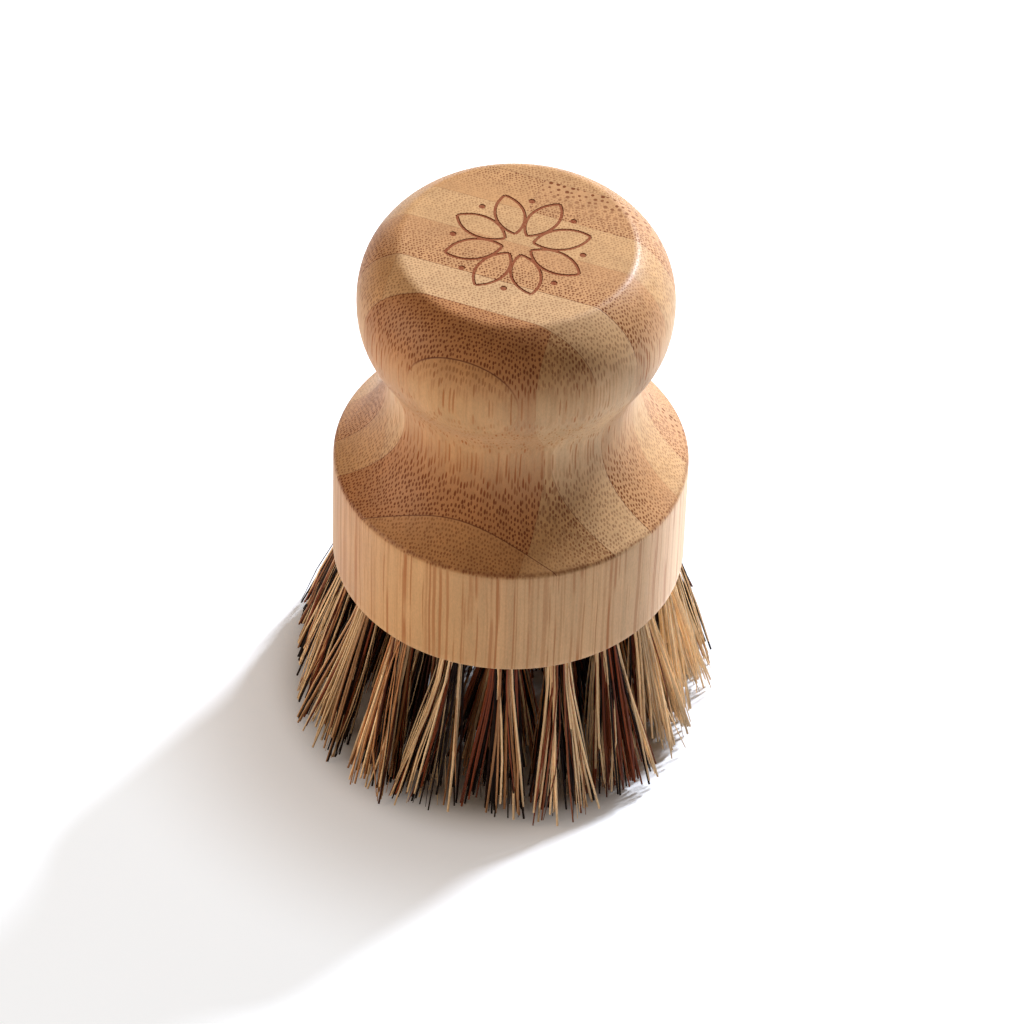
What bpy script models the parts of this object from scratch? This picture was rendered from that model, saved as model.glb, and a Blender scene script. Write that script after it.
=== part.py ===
"""Palm scrub brush: a handle turned from laminated bamboo, with fanned tufts of plant fibre in blind holes.

Each tuft is a bunch folded over a flat wire staple near the bottom of its hole. The brush stands on the
trimmed tips of its bristles at z = 0, with its axis on +Z. Lengths are in metres.
"""

import math

import bmesh
import bpy
from mathutils import Matrix, Vector

# Handle: heights follow one another from the underside up to the flat top
BASE_RADIUS = 0.026
WALL_HEIGHT = 0.0192
NECK_RADIUS = 0.0183
SHOULDER_HEIGHT = 0.0152
KNOB_RADIUS = 0.0228
WAIST_HEIGHT = 0.0149
TOP_RADIUS = 0.0169
CROWN_HEIGHT = 0.0107
EDGE_ROUND = 0.0005

# Where the profile's curves bend, as shares of the width and height that each curve spans
SHOULDER_BEND_SHARES = (0.45, 0.19, 0.50)
WAIST_BEND_SHARES = (0.45, 0.57)
CROWN_BEND_SHARES = (0.49, 0.61, 0.20)

# Bristles
BRISTLE_LENGTH = 0.0269
TIP_OVERHANG = 0.007
STRAND_RADIUS = 0.00042
STRAND_TIP_SHARE = 0.85

# Blind holes in the underside
HOLE_DIAMETER = 0.0046
HOLE_DEPTH = 0.011
HOLE_EDGE_WALL = 0.0016
DRILL_POINT_ANGLE = math.radians(118)
FIT_GAP = 0.0003

# Flat wire staples
STAPLE_THICKNESS = 0.00035
STAPLE_WIDTH = 0.0018
STAPLE_BITE = 0.0005
FOLD_THICKNESS = 0.0018

# Rows of tufts: name, count, share of the outer row's radius at the holes, then three shares of the tips'
# radius: the row's own at the ground, and a fan's half width sideways and along a radius
TUFT_ROW_SHARES = (
    ("outer", 18, 1.0, 0.885, 0.155, 0.125),
    ("middle", 8, 0.60, 0.56, 0.21, 0.17),
    ("centre", 1, 0, 0, 0.23, 0.23),
)

# Facets
TURNED_SIDES = 64
HOLE_SIDES = 6
BUNCH_SIDES = 6
SHOULDER_STEPS = 7
WAIST_STEPS = 8
CROWN_STEPS = 7
EDGE_STEPS = 2
EDGE_ANGLE = math.radians(25)
SMOOTH_ANGLE = math.radians(35)
MERGE_DISTANCE = 0.00001

# Shares of a bunch's radius that its inner polygon and its folded crown take, and the most of its cell
# that a strand takes
CORE_SHARE = 0.55
FOLD_CROWN_SHARE = 0.6
CELL_FILL_SHARE = 0.7

# How nearly a face's normal lies along a direction when faces are picked by it
FACING_SHARE = 0.9

UNDERSIDE_HEIGHT = BRISTLE_LENGTH
RIM_HEIGHT = UNDERSIDE_HEIGHT + WALL_HEIGHT
NECK_HEIGHT = RIM_HEIGHT + SHOULDER_HEIGHT
KNOB_HEIGHT = NECK_HEIGHT + WAIST_HEIGHT
TOP_HEIGHT = KNOB_HEIGHT + CROWN_HEIGHT

TIP_RADIUS = BASE_RADIUS + TIP_OVERHANG
HOLE_RADIUS = HOLE_DIAMETER / 2
OUTER_ROW_RADIUS = BASE_RADIUS - HOLE_EDGE_WALL - HOLE_RADIUS
BUNCH_RADIUS = HOLE_RADIUS * math.cos(math.pi / HOLE_SIDES) - FIT_GAP
STAPLE_LENGTH = HOLE_DIAMETER + 2 * STAPLE_BITE
STAPLE_TOP = HOLE_DEPTH - FOLD_THICKNESS
STAPLE_BOTTOM = STAPLE_TOP - STAPLE_WIDTH


def clear_scene():
    for obj in list(bpy.data.objects):
        bpy.data.objects.remove(obj, do_unlink=True)


def make_material(name, colour, roughness, metallic):
    material = bpy.data.materials.new(name)
    material.use_nodes = True
    shader = material.node_tree.nodes["Principled BSDF"]
    shader.inputs["Base Color"].default_value = (*colour, 1)
    shader.inputs["Roughness"].default_value = roughness
    shader.inputs["Metallic"].default_value = metallic
    material.diffuse_color = (*colour, 1)
    return material


def make_object(name, bm, material=None):
    """Turns a bmesh into a named object whose sharp edges stay sharp."""
    mesh = bpy.data.meshes.new(name)
    bm.to_mesh(mesh)
    bm.free()
    mesh.shade_smooth()
    mesh.set_sharp_from_angle(angle=SMOOTH_ANGLE)
    if material:
        mesh.materials.append(material)
    obj = bpy.data.objects.new(name, mesh)
    bpy.context.scene.collection.objects.link(obj)
    return obj


def make_cutter(name, bm):
    cutter = make_object(name, bm)
    cutter.hide_render = True
    cutter.display_type = "WIRE"
    return cutter


def curve_points(start, start_bend, end_bend, end, steps):
    """Points of a cubic Bezier curve in the profile plane, without its first point."""
    points = []
    for step in range(1, steps + 1):
        t = step / steps
        s = 1 - t
        weights = (s**3, 3 * s * s * t, 3 * s * t * t, t**3)
        corners = (start, start_bend, end_bend, end)
        radius = sum(w * corner[0] for w, corner in zip(weights, corners))
        height = sum(w * corner[1] for w, corner in zip(weights, corners))
        points.append((radius, height))
    return points


def handle_profile():
    """The turned outline as (radius, height), from the middle of the flat top down to the underside."""
    top_edge = (TOP_RADIUS, TOP_HEIGHT)
    knob = (KNOB_RADIUS, KNOB_HEIGHT)
    neck = (NECK_RADIUS, NECK_HEIGHT)
    rim = (BASE_RADIUS, RIM_HEIGHT)

    crown_width = KNOB_RADIUS - TOP_RADIUS
    rise_share, across_share, drop_share = CROWN_BEND_SHARES
    crown = curve_points(
        top_edge,
        (TOP_RADIUS + across_share * crown_width, TOP_HEIGHT - drop_share * CROWN_HEIGHT),
        (KNOB_RADIUS, KNOB_HEIGHT + rise_share * CROWN_HEIGHT),
        knob,
        CROWN_STEPS,
    )
    neck_share, knob_share = WAIST_BEND_SHARES
    waist = curve_points(
        knob,
        (KNOB_RADIUS, KNOB_HEIGHT - knob_share * WAIST_HEIGHT),
        (NECK_RADIUS, NECK_HEIGHT + neck_share * WAIST_HEIGHT),
        neck,
        WAIST_STEPS,
    )
    shoulder_width = BASE_RADIUS - NECK_RADIUS
    in_share, up_share, down_share = SHOULDER_BEND_SHARES
    shoulder = curve_points(
        neck,
        (NECK_RADIUS, NECK_HEIGHT - down_share * SHOULDER_HEIGHT),
        (BASE_RADIUS - in_share * shoulder_width, RIM_HEIGHT + up_share * SHOULDER_HEIGHT),
        rim,
        SHOULDER_STEPS,
    )
    ends = ((0, TOP_HEIGHT), top_edge), ((BASE_RADIUS, UNDERSIDE_HEIGHT), (0, UNDERSIDE_HEIGHT))
    return [*ends[0], *crown, *waist, *shoulder, *ends[1]]


def turned(profile, sides):
    """A closed solid turned about +Z from a profile whose two ends lie on the axis."""
    bm = bmesh.new()
    verts = [bm.verts.new((radius, 0, height)) for radius, height in profile]
    edges = [bm.edges.new(pair) for pair in zip(verts, verts[1:])]
    bmesh.ops.spin(
        bm,
        geom=verts + edges,
        cent=(0, 0, 0),
        axis=(0, 0, 1),
        angle=2 * math.pi,
        steps=sides,
        use_merge=True,
    )
    on_axis = [v for v in bm.verts if v.co.xy.length < EDGE_ROUND / sides]
    bmesh.ops.remove_doubles(bm, verts=on_axis, dist=EDGE_ROUND)
    bmesh.ops.recalc_face_normals(bm, faces=bm.faces)
    return bm


def tuft_places():
    """For each tuft: its name, the hole's frame, its tip centre on the ground, and its fan's half widths."""
    places = []
    for row, count, root_share, tip_share, side_share, along_share in TUFT_ROW_SHARES:
        for index in range(count):
            angle = 2 * math.pi * index / count - math.pi / 2
            outward = Vector((math.cos(angle), math.sin(angle), 0))
            sideways = Vector((-outward.y, outward.x, 0))
            mouth = outward * OUTER_ROW_RADIUS * root_share + Vector((0, 0, UNDERSIDE_HEIGHT))
            tip = outward * TIP_RADIUS * tip_share
            into_wood = (mouth - tip).normalized()
            frame = Matrix.Identity(4)
            frame.col[0].xyz = sideways.cross(into_wood)
            frame.col[1].xyz = sideways
            frame.col[2].xyz = into_wood
            frame.col[3].xyz = mouth
            fan = (outward * TIP_RADIUS * along_share, sideways * TIP_RADIUS * side_share)
            places.append((f"{row}_{index + 1:02d}", frame, tip, fan))
    return places


def add_drill(bm, frame):
    """A drill's shape along the frame's Z axis, from outside the underside to the hole's point."""
    depth = HOLE_DEPTH + HOLE_RADIUS
    made = bmesh.ops.create_cone(
        bm,
        cap_ends=True,
        segments=HOLE_SIDES,
        radius1=HOLE_RADIUS,
        radius2=HOLE_RADIUS,
        depth=depth,
        matrix=frame @ Matrix.Translation((0, 0, HOLE_DEPTH - depth / 2)),
    )
    inward = frame.col[2].xyz
    end_faces = {face for vert in made["verts"] for face in vert.link_faces}
    end_faces = [face for face in end_faces if face.normal.dot(inward) > FACING_SHARE]
    point_height = HOLE_RADIUS / math.tan(DRILL_POINT_ANGLE / 2)
    point = bmesh.ops.poke(bm, faces=end_faces)["verts"]
    bmesh.ops.translate(bm, verts=point, vec=inward * point_height)


def add_block(bm, frame, size, height):
    """A block of the given size along the frame's axes, with its middle at that height on the Z axis."""
    place = frame @ Matrix.Translation((0, 0, height)) @ Matrix.Diagonal((*size, 1))
    return bmesh.ops.create_cube(bm, size=1, matrix=place)["verts"]


def make_handle(places, material):
    handle = make_object("turned_handle", turned(handle_profile(), TURNED_SIDES), material)
    soften = handle.modifiers.new("softened_edges", "BEVEL")
    soften.width = EDGE_ROUND
    soften.segments = EDGE_STEPS
    soften.limit_method = "ANGLE"
    soften.angle_limit = EDGE_ANGLE

    drills = bmesh.new()
    slots = bmesh.new()
    slot_size = (STAPLE_LENGTH + 2 * FIT_GAP, STAPLE_THICKNESS + 2 * FIT_GAP, STAPLE_WIDTH + 2 * FIT_GAP)
    for _, frame, _, _ in places:
        add_drill(drills, frame)
        add_block(slots, frame, slot_size, (STAPLE_TOP + STAPLE_BOTTOM) / 2)
    for name, cutter_mesh in (("staple_slots", slots), ("drilled_holes", drills)):
        cut = handle.modifiers.new(name, "BOOLEAN")
        cut.operation = "DIFFERENCE"
        cut.solver = "EXACT"
        cut.object = make_cutter(f"{name}_cutter", cutter_mesh)
    weld = handle.modifiers.new("merged_corners", "WELD")
    weld.merge_threshold = MERGE_DISTANCE
    return handle


def pierce_fold(bm, low, high, width):
    """Opens a straight tunnel along X through the bunch, where the staple passes inside the fold."""
    bm.normal_update()
    rims = []
    for side in (-1, 1):
        wall = [
            face
            for face in bm.faces
            if face.normal.x * side > FACING_SHARE and low < face.calc_center_median().z < high
        ]
        bmesh.ops.inset_individual(bm, faces=wall, thickness=FIT_GAP)
        for vert in wall[0].verts:
            vert.co.y = math.copysign(width / 2, vert.co.y)
            vert.co.z = high if vert.co.z > (low + high) / 2 else low
        rims += wall[0].edges
        bmesh.ops.delete(bm, geom=wall, context="FACES_ONLY")
    bmesh.ops.bridge_loops(bm, edges=rims)


def bunch_root(frame):
    """The folded bunch that fills the hole, and the small triangles at its mouth that strands grow from."""
    tunnel_low = STAPLE_BOTTOM - FIT_GAP
    tunnel_high = STAPLE_TOP + FIT_GAP
    crown_top = HOLE_DEPTH - FIT_GAP
    crown_low = (tunnel_high + crown_top) / 2
    bm = bmesh.new()
    bmesh.ops.create_cone(
        bm,
        cap_ends=True,
        segments=BUNCH_SIDES,
        radius1=BUNCH_RADIUS,
        radius2=BUNCH_RADIUS,
        depth=crown_top,
        matrix=Matrix.Translation((0, 0, crown_top / 2)),
    )
    crown = [vert for vert in bm.verts if vert.co.z > crown_low]
    for level in (tunnel_low - FIT_GAP, crown_low):
        everything = bm.verts[:] + bm.edges[:] + bm.faces[:]
        bmesh.ops.bisect_plane(bm, geom=everything, plane_co=(0, 0, level), plane_no=(0, 0, 1))
    bmesh.ops.scale(bm, verts=crown, vec=(FOLD_CROWN_SHARE, FOLD_CROWN_SHARE, 1))
    pierce_fold(bm, tunnel_low, tunnel_high, STAPLE_THICKNESS + 2 * FIT_GAP)

    mouth = [face for face in bm.faces if all(vert.co.z < FIT_GAP / 2 for vert in face.verts)]
    ring_width = BUNCH_RADIUS * math.cos(math.pi / BUNCH_SIDES) * (1 - CORE_SHARE)
    ring = bmesh.ops.inset_region(bm, faces=mouth, thickness=ring_width)["faces"]
    cells = bmesh.ops.triangulate(bm, faces=ring, quad_method="FIXED")["faces"]
    cells += bmesh.ops.poke(bm, faces=mouth)["faces"]
    bmesh.ops.inset_individual(bm, faces=cells, thickness=STRAND_RADIUS / 4)
    return bm, cells


def make_tuft(name, frame, tip, fan, material):
    """A bunch folded in its hole, with strands that spread evenly to their trimmed tips and never cross."""
    bm, cells = bunch_root(frame)
    for cell in cells:
        middle = cell.calc_center_median()
        reach = sum((vert.co - middle).length for vert in cell.verts) / len(cell.verts)
        for vert in cell.verts:
            vert.co = middle + (vert.co - middle) * min(STRAND_RADIUS / reach, CELL_FILL_SHARE)
    bm.transform(frame)

    to_frame = frame.inverted()
    for strand in bmesh.ops.extrude_discrete_faces(bm, faces=cells)["faces"]:
        root = strand.calc_center_median()
        spot = (to_frame @ root) / BUNCH_RADIUS
        end = tip + fan[0] * spot.x + fan[1] * spot.y
        for vert in strand.verts:
            offset = (vert.co - root) * STRAND_TIP_SHARE
            vert.co = end + Vector((offset.x, offset.y, 0))
    return make_object(f"tuft_{name}", bm, material)


def make_staple(name, frame, material):
    """A cut length of flat wire on edge across the hole, its ends bitten into slots in the wood."""
    bm = bmesh.new()
    size = (STAPLE_LENGTH, STAPLE_THICKNESS, STAPLE_WIDTH)
    add_block(bm, frame, size, (STAPLE_TOP + STAPLE_BOTTOM) / 2)
    return make_object(f"staple_{name}", bm, material)


def main():
    clear_scene()
    bamboo = make_material("bamboo", (0.56, 0.33, 0.16), 0.5, 0)
    pale_fibre = make_material("pale_fibre", (0.62, 0.45, 0.25), 0.6, 0)
    dark_fibre = make_material("dark_fibre", (0.12, 0.05, 0.03), 0.55, 0)
    wire = make_material("flat_wire", (0.62, 0.6, 0.56), 0.35, 1)

    places = tuft_places()
    make_handle(places, bamboo)
    for index, (name, frame, tip, fan) in enumerate(places):
        fibre = dark_fibre if index % 2 else pale_fibre
        make_tuft(name, frame, tip, fan, fibre)
        make_staple(name, frame, wire)


main()
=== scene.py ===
"""Dresses a turned bamboo palm brush: glued strips with their fibre marks, a burnt-in flower, and mixed bristles."""

import math
import random

import bmesh
import bpy
from bpy.props import FloatProperty, FloatVectorProperty, IntProperty, PointerProperty
from mathutils import Matrix, Vector


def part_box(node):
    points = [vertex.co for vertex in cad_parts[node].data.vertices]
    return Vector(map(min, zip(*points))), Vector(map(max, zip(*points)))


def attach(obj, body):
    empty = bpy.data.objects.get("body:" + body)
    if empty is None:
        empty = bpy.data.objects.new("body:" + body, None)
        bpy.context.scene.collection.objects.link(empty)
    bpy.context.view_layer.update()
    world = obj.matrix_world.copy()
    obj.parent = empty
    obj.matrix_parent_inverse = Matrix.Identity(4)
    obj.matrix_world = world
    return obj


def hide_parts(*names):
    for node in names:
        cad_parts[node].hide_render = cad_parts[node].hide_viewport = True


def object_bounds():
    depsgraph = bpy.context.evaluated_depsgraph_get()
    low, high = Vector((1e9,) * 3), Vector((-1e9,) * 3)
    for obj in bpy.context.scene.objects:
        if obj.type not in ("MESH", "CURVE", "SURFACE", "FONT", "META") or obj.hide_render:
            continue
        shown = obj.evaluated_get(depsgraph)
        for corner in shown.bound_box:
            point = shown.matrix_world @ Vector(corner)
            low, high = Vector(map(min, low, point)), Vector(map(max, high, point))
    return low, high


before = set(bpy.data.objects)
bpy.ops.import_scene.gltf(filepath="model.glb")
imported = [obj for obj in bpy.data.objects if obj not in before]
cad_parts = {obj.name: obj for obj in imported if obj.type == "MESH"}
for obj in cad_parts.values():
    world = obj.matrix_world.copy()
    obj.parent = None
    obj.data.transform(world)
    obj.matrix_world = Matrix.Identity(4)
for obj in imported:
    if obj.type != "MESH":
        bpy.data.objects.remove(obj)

bl_info = {
    "name": "Bamboo palm brush",
    "version": (1, 0, 0),
    "blender": (4, 5, 0),
    "location": "View3D > Sidebar > Brush",
    "description": "Makes the visible pieces of a turned bamboo palm brush over its packed model",
    "category": "Object",
}

CAD_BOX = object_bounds()
HANDLE_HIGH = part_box("turned_handle")[1]
MM_PER_M = 1000

# How far from an edge the loop beside it lies, in radii of the edge's rounding
HOLD_ROUNDS = 3

# Where the turned profile's curves bend, as shares of the width and height that each curve spans
SHOULDER_BEND_SHARES = (0.45, 0.19, 0.50)
WAIST_BEND_SHARES = (0.45, 0.57)
CROWN_BEND_SHARES = (0.49, 0.61, 0.20)

# From what angle an edge is rounded by the lathe, and is drawn sharp on any piece, after a cut, and on a bristle
ROUNDED_EDGE, SHARP_EDGE, CUT_EDGE, BRISTLE_EDGE = (math.radians(angle) for angle in (20, 35, 30, 60))
ROUND_SEGMENTS = 4

# How nearly upright a face's normal is for the face to count as level, and how nearly along the drill for its end
LEVEL_SHARE = 0.9999
END_SHARE = 0.9

DRILL_SIDES, DOT_SIDES = 24, 16
DRILL_POINT = math.radians(59)

# Rows of tufts: name, count, then shares: the row's radius at the holes of the outer row's, and of the tips'
# radius the row's own at the ground, a fan's half width sideways, and its half width along a radius
TUFT_ROW_SHARES = (
    ("outer", 18, 1.0, 0.885, 0.155, 0.125),
    ("middle", 8, 0.60, 0.56, 0.21, 0.17),
    ("centre", 1, 0, 0, 0.23, 0.23),
)

# Tufts whose tip centres lie closer than this keep clear of each other, in metres
NEIGHBOUR_REACH = 0.022

# The room that a strand keeps from a neighbouring tuft, as a share of its radius, and how often it is pushed back
CLEAR_SHARE = 1.1
PUSHES = 4

# How fast the folded strands stack up over the staple with their distance from it
FOLD_STACK_SHARE = 0.5

# How far along its way a bristle still keeps to its hole's line, and how far along it heads for its tip, as
# shares of the way; and how much of its sway it has at the first of them, and upwards
LEAVE_SHARE, ARRIVE_SHARE, LEAVE_SWAY, LIFT_SWAY = 0.25, 0.62, 0.4, 0.5

# Which way the first ring of every bristle faces: any direction that no bristle starts along
RING_START = (0.6, 0.8, 0)

# Shares of a fan's half widths, outwards and sideways: a tuft's lean and its fan's tightness, a clump's drift,
# and how far one strand strays; the last also depends on whether the strand keeps to a clump
LEAN_SPREADS = (0.12, 0.2)
TIGHTNESS_SPANS = ((0.75, 1.1), (0.75, 1.15))
DRIFT_SPREADS = (0.18, 0.2)
STRAY_SPREAD = 0.1
LOOSE_SCATTER, CLUMP_SCATTER = 0.2, 0.1

# The golden angle as a share of half a turn: places that lie this far apart in turn fill a round evenly
GOLDEN_SHARE = 3 - math.sqrt(5)

# How much likelier a strand is to be loose on its hole's outer side, and on the inner one
LOOSE_FACTORS = (1.25, 0.6)

# Loose strands are straw more often than the mix says and clumps less often. A clump's strands differ a little
# in colour, and all of them end up to this many metres short
LOOSE_KIND_POWER, CLUMP_STRAW_POWER = 1.5, 1.6
CLUMP_KIND_SPREAD, CLUMP_SHORTFALL = 0.05, 0.0018

# For thin and for other strands: radius as shares of a thick one's, the end's radius as a share of the strand's,
# and how much more than others they sway and fall short
THIN_STRANDS = ((0.35, 0.55), 0.6, 2.5, 1.5)
THICK_STRANDS = ((0.6, 1.0), 0.85, 1, 1)

# How rare the shortest ends are, for strands and for clumps, and how unevenly ends past the reach are drawn in
SHORT_POWER, SHORT_CLUMP_POWER, TRIM_SPREAD = 2.5, 2, 0.02

# Ranges of the strand attribute for straw, ginger, russet and black
KIND_RANGES = ((0.0, 0.12), (0.25, 0.45), (0.5, 0.7), (0.85, 1.0))

# How much of each outer tuft is straw, ginger and russet, from the front round to the right; the rest is black
# Partly painted light and shade: the tufts round the lit right side, the fourth to sixth, are given extra pale straw,
# and the two at the front extra black where the bristles lie in shade
OUTER_MIX_SHARES = (
    *((0.04, 0.14, 0.14), (0.20, 0.06, 0.12), (0.36, 0.08, 0.36), (0.72, 0.08, 0.10), (0.92, 0.04, 0.02)),
    *((0.76, 0.10, 0.06), (0.50, 0.14, 0.12), (0.36, 0.12, 0.20), (0.52, 0.10, 0.10), (0.38, 0.16, 0.14)),
    *((0.50, 0.08, 0.18), (0.36, 0.20, 0.12), (0.52, 0.10, 0.10), (0.42, 0.12, 0.14), (0.40, 0.14, 0.12)),
    *((0.36, 0.10, 0.12), (0.26, 0.36, 0.10), (0.38, 0.08, 0.12)),
)
# Mostly black, partly as painted shade for the bunches inside the ring under the base
INNER_MIX_SHARES = (0.12, 0.08, 0.30)

# The block is glued from flat strips on edge: this way lies across them in plan. Seams, in mm along it
STRIPS_TURN = math.radians(-109.5)
SEAMS_MM = (-21.3, -14.2, -7.1, -0.1, 8.05, 14.5, 21.2)
OUTER_STRIPS_MM = (7.1, 6.7)
SEAM_STRENGTHS = (0.5, 0.45, 0.35, 0.3, 0.85, 0.6, 0.9)
BUTT_STRENGTH, SEAM_WIDTH_MM = 0.22, 0.09

# For each strip from the back to the front: where it meets the next length of strip along the seam, in mm,
# then for the lengths left and right of that meeting, or the whole: its colour, and how strong its fine veins
# are at its back and front face, and its coarse veins likewise
NO_BUTT = 90
STRIPS = (
    (NO_BUTT, ((0.55, 0.33, 0.152), (0.5, 0.8, 0.2, 0.0))),
    (NO_BUTT, ((0.60, 0.37, 0.179), (0.2, 0.6, 0.6, 0.1))),
    (-1.3, ((0.60, 0.36, 0.170), (0.85, 0.15, 0.0, 0.1)), ((0.60, 0.355, 0.172), (0.0, 0.9, 1.0, 0.1))),
    (NO_BUTT, ((0.66, 0.435, 0.222), (0.45, 0.35, 0.1, 0.1))),
    (NO_BUTT, ((0.61, 0.36, 0.176), (0.35, 1.0, 0.2, 0.0))),
    (-15, ((0.64, 0.41, 0.208), (0.42, 0.6, 0.0, 0.0)), ((0.70, 0.485, 0.27), (0.42, 0.55, 0.0, 0.0))),
    # Painted shade and light, in part: the left length is darker for the shaded front of the knob, and the right one
    # paler, with fewer veins at its front, for light on the shoulder's front right
    (10.5, ((0.53, 0.27, 0.115), (0.9, 1.0, 0.0, 0.0)), ((0.62, 0.395, 0.195), (0.85, 0.3, 0.5, 0.0))),
    # Painted shade, in part: the left length is darker for the shaded crescent of the shoulder below the knob's front
    (10.1, ((0.575, 0.325, 0.144), (0.5, 0.75, 0.0, 0.0)), ((0.66, 0.42, 0.210), (0.3, 0.5, 0.1, 0.0))),
)

# Tables of a colour ramp hold 0 to 1, so lengths in mm go in as (length + zero) / range
PLACE_CODE, WIDTH_CODE, BUTT_CODE = (50, 100), (0, 10), (100, 200)

# How far the pattern jumps from one strip to the next, and beyond a butt joint, in mm
STRIP_JUMP, BUTT_JUMP = 17.3, 41.7

# Noise in the wood: its waves to a millimetre along each axis, its detail and its roughness. Across the grain,
# the one that breaks the streaks has its waves to a unit of a bundle's chance
DRIFT_NOISE = ((0.12, 0.12, 0.035), 2.0, 0.5)
THREADS_NOISE = ((2.6, 2.6, 0.09), 3.0, 0.6)
BANDS_NOISE = ((0.55, 0.55, 0.02), 2.0, 0.5)
CLOUD_NOISE = ((0.16, 0.16, 0.06), 3.0, 0.55)
PORES_NOISE = ((4.2, 4.2, 1.6), 2.0, 0.7)
RUBBED_NOISE = ((1.5, 1.5, 0.6), 2.0, 0.6)
CHAR_NOISE = ((2.2, 2.2, 2.2), 2.0, 0.6)
BREAKS_NOISE = ((61.0, 0, 0.07), 1.0, 0.5)

# The same to a metre, in the fibres and on the wire
FLECKS_NOISE = ((5200, 5200, 420), 2.0, 0.6)
SCORES_NOISE = ((3000, 3000, 9000), 2.0, 0.6)

# Soft steps: the values between which they rise or fall, and where given what they give at each
END_GRAIN_STEP = (-0.15, 0.45)
BREAKS_STEP = (0.38, 0.5, 0.3, 1.0)
THREADS_STEP = (0.25, 0.75, -0.5, 0.5)
BANDS_STEP = (0.3, 0.7, -0.5, 0.5)
PORES_STEP = (0.25, 0.75)
RUBBED_STEP = (0.35, 0.6)
CHAR_STEP = (0.3, 0.75, 0.78, 0.98)
FLECKS_STEP = (0.2, 0.8, 0.82, 1.16)
TIPS_STEP = (0.0, 0.08, 0.8, 1.0)
FIBRE_GLOSS_STEP = (0.4, 0.9, 0.4, 0.15)
SCORES_STEP = (0.2, 0.8, 0.28, 0.45)
KIND_STEPS = ((0.12, 0.3), (0.42, 0.58), (0.68, 0.88))
# The floor's camera-only light by distance from the axis: none under the brush, then growing outwards, so that it
# paints the cast shadow lighter the further it lies from the brush
NEAR_STEP = (0.027, 0.037)
FAR_STEP = (0.031, 0.065)

# How far the grain wanders, in mm, how soft the wall's upper edge is, and how far above the rim its mark lies
WANDER = (1.3, 1.3, 0)
RIM_SOFTNESS, RIM_MARK_RISE, RIM_MARK_WIDTH = 0.3, 0.15, 0.4

# Straight lines are (slope, start). Veins: their size by chance, their soft edge as shares of it, their strength
# on end grain by chance, and what shows on side grain: a share of that strength, how chance evens it, and how
# strong the streaks are above the rim and on the wall
VEIN_SIZE_LINE = (0.25, 0.38)
VEIN_EDGES = (0.72, 1.25)
VEIN_PITCH_MM, VEIN_WIDTH_MM, VEIN_DISORDER = 0.7, 0.3, 0.5
END_VEIN_LINE = (0.3, 0.85)
SIDE_VEIN_SHARE, SIDE_VEIN_POWER = 0.5, 1.3
STREAK_LEVELS = (("fine", 0.45, 0.4), ("coarse", 0.1, 1.0))
SEAM_LINE = (0.85, 0.15)
SHEEN_LINE = (0.3, 0.12)
SHEEN_ROUGHNESS, SHEEN_TINT = 0.4, (1, 0.86, 0.70, 1)
COAT, COAT_ROUGHNESS = 0.06, 0.3
GLOSS, BURNT_GLOSS, VEIN_GLOSS_LOSS = 0.22, 0.15, 0.8
VEIN_ROUGHNESS, THREAD_ROUGHNESS = 0.12, 0.08
THREAD_RELIEF, VEIN_RELIEF, SEAM_RELIEF = 0.35, 0.65, 0.5
FIBRE_TONE_LINE = (0.7, 0.62)
FLECK_ROUGHNESS, KIND_ROUGHNESS = 0.2, 0.15

# Bumps: strength and depth in metres
WOOD_BUMP = (0.35, 0.00006)
FIBRE_BUMP = (0.4, 0.00003)
WIRE_BUMP = (0.25, 0.00002)

WIRE_COLOURS = ((0.50, 0.48, 0.44), (0.68, 0.66, 0.62))
WHITE = (1, 1, 1)

FLOOR_SIZE, FLOOR_ROUGHNESS, FLOOR_GLOSS = 6, 0.9, 0.1
SENSOR_WIDTH, FRAME_PIXELS = 36, 1024
VIEW_NEAR, VIEW_FAR = 0.01, 20


# Shapes


def curve_points(start, start_bend, end_bend, end, steps):
    """Points of a cubic Bezier curve in the profile plane, without its first point."""
    points = []
    for step in range(1, steps + 1):
        t = step / steps
        s = 1 - t
        weights = (s**3, 3 * s * s * t, 3 * s * t * t, t**3)
        corners = (start, start_bend, end_bend, end)
        points.append(tuple(sum(w * corner[axis] for w, corner in zip(weights, corners)) for axis in (0, 1)))
    return points


def handle_heights(sizes):
    """The handle's levels from the underside up: underside, rim, neck, widest knob, flat top."""
    levels = [HANDLE_HIGH.z]
    for step in (sizes.crown_height, sizes.waist_height, sizes.shoulder_height, sizes.wall_height):
        levels.append(levels[-1] - step)
    return levels[::-1]


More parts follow.
